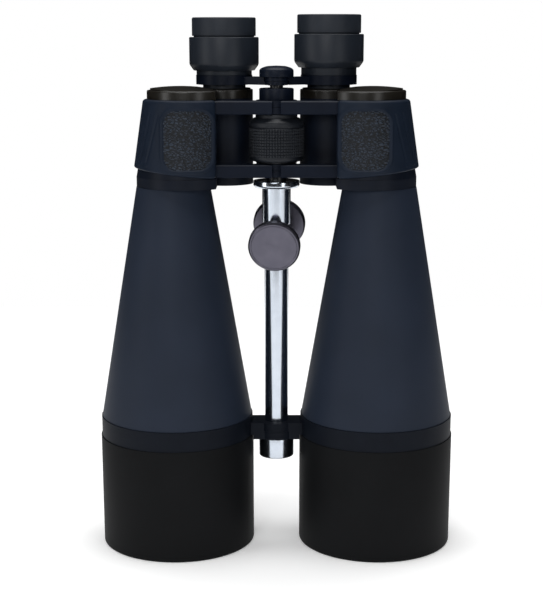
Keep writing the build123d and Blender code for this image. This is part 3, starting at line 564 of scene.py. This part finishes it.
def makeKnob():
    edge = clamp["rimEdge"]
    lineOut, lineMiddle, lineIn = knob["line"]
    bm = turned([(0, knob["tip"]), (knob["screw"], knob["tip"], 0.4), (knob["screw"], knob["back"]),
                 (knob["radius"] - edge, knob["back"]), (knob["radius"], knob["back"] + edge),
                 (knob["radius"], knob["face"] - edge),
                 (knob["radius"] - edge, knob["face"], knob["lineDepth"]),
                 (lineOut, knob["face"]), (lineMiddle, knob["face"] - knob["lineDepth"]),
                 (lineIn, knob["face"]), (0, knob["face"])],
                steps=2 * clamp["teeth"], closed=False)
    knurlRim(bm, knob["radius"], knob["back"] + edge, knob["face"] - edge)
    bmesh.ops.transform(bm, matrix=clampPlace(), verts=bm.verts)
    return bm


def makeFoot():
    edge = clamp["rimEdge"]
    bm = turned([(foot["socket"], foot["face"]), (foot["radius"] - edge, foot["face"], 0.2),
                 (foot["radius"], foot["face"] + edge), (foot["radius"], foot["back"] - edge),
                 (foot["radius"] - edge, foot["back"]), (foot["socket"], foot["back"])],
                steps=2 * clamp["teeth"])
    knurlRim(bm, foot["radius"], foot["face"] + edge, foot["back"] - edge)
    bmesh.ops.transform(bm, matrix=clampPlace(), verts=bm.verts)
    return bm


standIn(makeKnob(), "knurled_clamp_knob", "clamp_knob", sharp=20)
standIn(makeFoot(), "knurled_tripod_foot", "tripod_foot", sharp=20)
print("stage: clamp")


# rubber armour round each prism housing, with a window for the pebbled panel

block = {"centre": (56.0, 3.0), "radius": 30.2, "atZ": 237.7, "slope": 0.085, "lean": 0.07,
         "fold": (56.1, 24.4), "foldR": 17.5, "sideX": 36.0, "cornerRound": 3.5, "cornerGive": 2.5,
         "backY": 1.2, "backTurn": 112.0}
armour = {"top": 277.0, "lowZ": 231.4, "lowRise": 0.1, "topRound": 1.9, "footRound": 1.1, "wall": 1.0,
          "columns": (30, 10, 190, 30, 40), "rows": 92, "crowding": 0.022}
window = {"x": (37.5, 67.0), "z": (236.5, 271.5), "corner": 8.0, "depth": 0.85, "wall": 0.55,
          "bead": 0.42, "beadAt": 1.0, "beadWidth": 0.6}
grooves = {"lines": (((69.7, 268.6), (77.0, 241.0)), ((74.6, 269.0), (81.3, 241.5))), "depth": 0.32,
           "width": 0.55, "studRise": 0.35, "studWidth": 0.6, "studPlace": (0.3, 2.2),
           "sideAngles": (-24, -17, -10), "sideWidth": 0.55, "sideDepth": 0.3,
           "sideFoot": (234.5, 237.0), "sideHead": (273.5, 271.0)}
panel = {"sink": 0.5, "columns": 180, "rows": 170, "pebble": (2.1, 1.15), "height": 0.34, "margin": 0.35,
         "wall": 0.3, "warpScale": 0.5, "warpDepth": 0.55, "warpLayer": 3.0, "valley": (0.02, 0.42),
         "slant": 0.6, "seed": 7, "trackSteps": ((1, 40), (2, 400))}
# the grain's warp draws from this seed, so it comes out the same on every run
noise.seed_set(panel["seed"])


def blockCircle(z):
    fall = z - block["atZ"]
    x, y = block["centre"]
    return x - block["lean"] * fall, y, block["radius"] - block["slope"] * fall


def blockPoint(part, share, z, inset=0.0):
    # a point on the block's outline at height z: side, front corner, round front, tangent and back
    cx, cy, fullR = blockCircle(z)
    bigR, smallR = fullR - inset, block["foldR"] - inset
    sideX, corner = block["sideX"] + inset, block["cornerRound"] - min(inset, block["cornerGive"])
    cornerX = sideX + corner
    cornerY = cy - sqrt((bigR - corner) ** 2 - (cornerX - cx) ** 2)
    joinTurn = atan2(cornerY - cy, cornerX - cx) + 2 * pi
    fx, fy = block["fold"]
    gap = hypot(fx - cx, fy - cy)
    leaveTurn = atan2(fy - cy, fx - cx) - acos((bigR - smallR) / gap)
    if part == 0:
        return sideX, block["backY"] + (cornerY - block["backY"]) * share
    if part == 1:
        turn = pi + (joinTurn - pi) * share
        return cornerX + corner * cos(turn), cornerY + corner * sin(turn)
    if part == 2:
        turn = joinTurn + (leaveTurn + 2 * pi - joinTurn) * share
        return cx + bigR * cos(turn), cy + bigR * sin(turn)
    start = (cx + bigR * cos(leaveTurn), cy + bigR * sin(leaveTurn))
    end = (fx + smallR * cos(leaveTurn), fy + smallR * sin(leaveTurn))
    if part == 3:
        return tuple(a + (b - a) * share for a, b in zip(start, end))
    turn = leaveTurn + (radians(block["backTurn"]) - leaveTurn) * share
    return fx + smallR * cos(turn), fy + smallR * sin(turn)


def outsideWindow(x, z):
    # how far a point lies outside the rounded window; negative inside it
    half = [(high - low) / 2 - window["corner"] for low, high in (window["x"], window["z"])]
    dx = abs(x - sum(window["x"]) / 2) - half[0]
    dz = abs(z - sum(window["z"]) / 2) - half[1]
    return hypot(max(dx, 0), max(dz, 0)) + min(max(dx, dz), 0) - window["corner"]


def smooth(low, high, value):
    share = min(max((value - low) / (high - low), 0), 1)
    return share * share * (3 - 2 * share)


def distanceToLine(point, start, end):
    run = Vector(end) - Vector(start)
    share = min(max((Vector(point) - Vector(start)).dot(run) / run.length_squared, 0), 1)
    return (Vector(point) - Vector(start) - run * share).length


def bell(distance, width):
    return exp(-(distance / width) ** 2)


def armourSink(part, x, y, z):
    # how deep the moulded pattern goes at a point of the armour
    sink = 0.0
    if y < 0 and part in (1, 2):
        out = outsideWindow(x, z)
        sink += window["depth"] * smooth(0, -window["wall"], out)
        sink -= window["bead"] * bell(out - window["beadAt"], window["beadWidth"])
        for start, end in grooves["lines"]:
            sink += grooves["depth"] * bell(distanceToLine((x, z), start, end), grooves["width"])
            stud = hypot(x - end[0] - grooves["studPlace"][0], z - end[1] + grooves["studPlace"][1])
            sink -= grooves["studRise"] * bell(stud, grooves["studWidth"])
    if part == 2 and x > block["centre"][0]:
        cx, cy, bigR = blockCircle(z)
        turn = atan2(y - cy, x - cx)
        ends = smooth(*grooves["sideFoot"], z) * smooth(*grooves["sideHead"], z)
        for angle in grooves["sideAngles"]:
            sink += grooves["sideDepth"] * ends * bell((turn - radians(angle)) * bigR, grooves["sideWidth"])
    return sink


def edgeInset(z, low, high):
    foot, top = armour["footRound"], armour["topRound"]
    if z < low + foot:
        return foot - sqrt(max(foot ** 2 - (low + foot - z) ** 2, 0))
    if z > high - top:
        return top - sqrt(max(top ** 2 - (z - high + top) ** 2, 0))
    return 0.0


def rowShare(row, rows):
    # rows crowd together at the rounded foot and top
    share = row / rows
    return share - armour["crowding"] * sin(2 * pi * share) if 0 < row < rows else share


def columnParts():
    places = [(0, 0.0)]
    for part, count in enumerate(armour["columns"]):
        places += [(part, (i + 1) / count) for i in range(count)]
    return places


def gridOver(columns, rows):
    bm = bmesh.new()
    bmesh.ops.create_grid(bm, x_segments=columns, y_segments=rows, size=0.5)
    return bm


def makeArmour(hand):
    places = columnParts()
    columns, rows = len(places) - 1, armour["rows"]
    bm = gridOver(columns, rows)
    for vert in bm.verts:
        column, row = round((vert.co.x + 0.5) * columns), round((vert.co.y + 0.5) * rows)
        part, share = places[column]
        x, _ = blockPoint(part, share, block["atZ"])
        low = armour["lowZ"] + armour["lowRise"] * (x - block["sideX"])
        z = low + (armour["top"] - low) * rowShare(row, rows)
        x, y = blockPoint(part, share, z)
        inset = edgeInset(z, low, armour["top"]) + armourSink(part, x, y, z)
        x, y = blockPoint(part, share, z, inset)
        vert.co = Vector((hand * x, y, z)) * mm
    faceFront(bm)
    bmesh.ops.solidify(bm, geom=bm.faces[:], thickness=armour["wall"] * mm)
    return bm


def faceFront(bm):
    # an open sheet's faces are turned so that the foremost one looks forward, to -Y
    bmesh.ops.recalc_face_normals(bm, faces=bm.faces)
    front = min(bm.faces, key=lambda face: face.calc_center_median().y)
    if front.normal.y > 0:
        bmesh.ops.reverse_faces(bm, faces=bm.faces)


def pebbleRise(x, z):
    # leather grain: rounded cells with narrow valleys between them
    warp = noise.noise_vector(Vector((x, z, panel["warpLayer"])) * panel["warpScale"]) * panel["warpDepth"]
    spot = Vector((x / panel["pebble"][0] + warp.x, z / panel["pebble"][1] + warp.y, 0.0))
    near = noise.voronoi(spot)[0]
    return smooth(*panel["valley"], near[1] - near[0])


def makePanel(hand):
    columns, rows = panel["columns"], panel["rows"]
    bm = gridOver(columns, rows)
    lowX, highX = window["x"][0] - panel["margin"], window["x"][1] + panel["margin"]
    lowZ, highZ = window["z"][0] - panel["margin"], window["z"][1] + panel["margin"]
    heights = []
    tracks = {}
    for vert in bm.verts:
        column, row = round((vert.co.x + 0.5) * columns), round((vert.co.y + 0.5) * rows)
        z = lowZ + (highZ - lowZ) * row / rows
        if row not in tracks:
            tracks[row] = frontTrack(z, lowX, highX)
        part, share = trackPoint(tracks[row], column / columns)
        x, y = blockPoint(part, share, z)
        rise = pebbleRise(x - y * panel["slant"], z)
        heights.append(rise)
        x, y = blockPoint(part, share, z, panel["sink"] + panel["height"] * (1 - rise))
        vert.co = Vector((hand * x, y, z)) * mm
    faceFront(bm)
    bm.verts.ensure_lookup_table()
    # the material reads this height to paint shade into the valleys
    layer = bm.verts.layers.float.new("pebbleHeight")
    for vert, rise in zip(bm.verts, heights):
        vert[layer] = rise
    bmesh.ops.solidify(bm, geom=bm.faces[:], thickness=panel["wall"] * mm)
    return bm


def frontTrack(z, lowX, highX):
    # lengths along the front between two X positions, through the rounded corner
    track = []
    length = 0.0
    before = None
    for part, count in panel["trackSteps"]:
        for i in range(count + 1):
            x, y = blockPoint(part, i / count, z)
            if y > 0 and part == 2 or x > highX and y < 0:
                break
            if x < lowX:
                continue
            if before:
                length += hypot(x - before[0], y - before[1])
            before = (x, y)
            track.append((length, part, i / count))
    return track


def trackPoint(track, share):
    goal = track[-1][0] * share
    low, high = 0, len(track) - 1
    while high - low > 1:
        middle = (low + high) // 2
        if track[middle][0] <= goal:
            low = middle
        else:
            high = middle
    start, end = track[low], track[high]
    if start[1] != end[1]:
        return end[1], 0.0
    blend = (goal - start[0]) / (end[0] - start[0])
    return start[1], start[2] + (end[2] - start[2]) * blend


for side, hand in sides.items():
    standIn(makeArmour(hand), side + "rubber_armour", side + "armour", sharp=50)
    standIn(makePanel(hand), side + "pebbled_panel", side + "grip_panel", sharp=80)
print("stage: armour and panels")
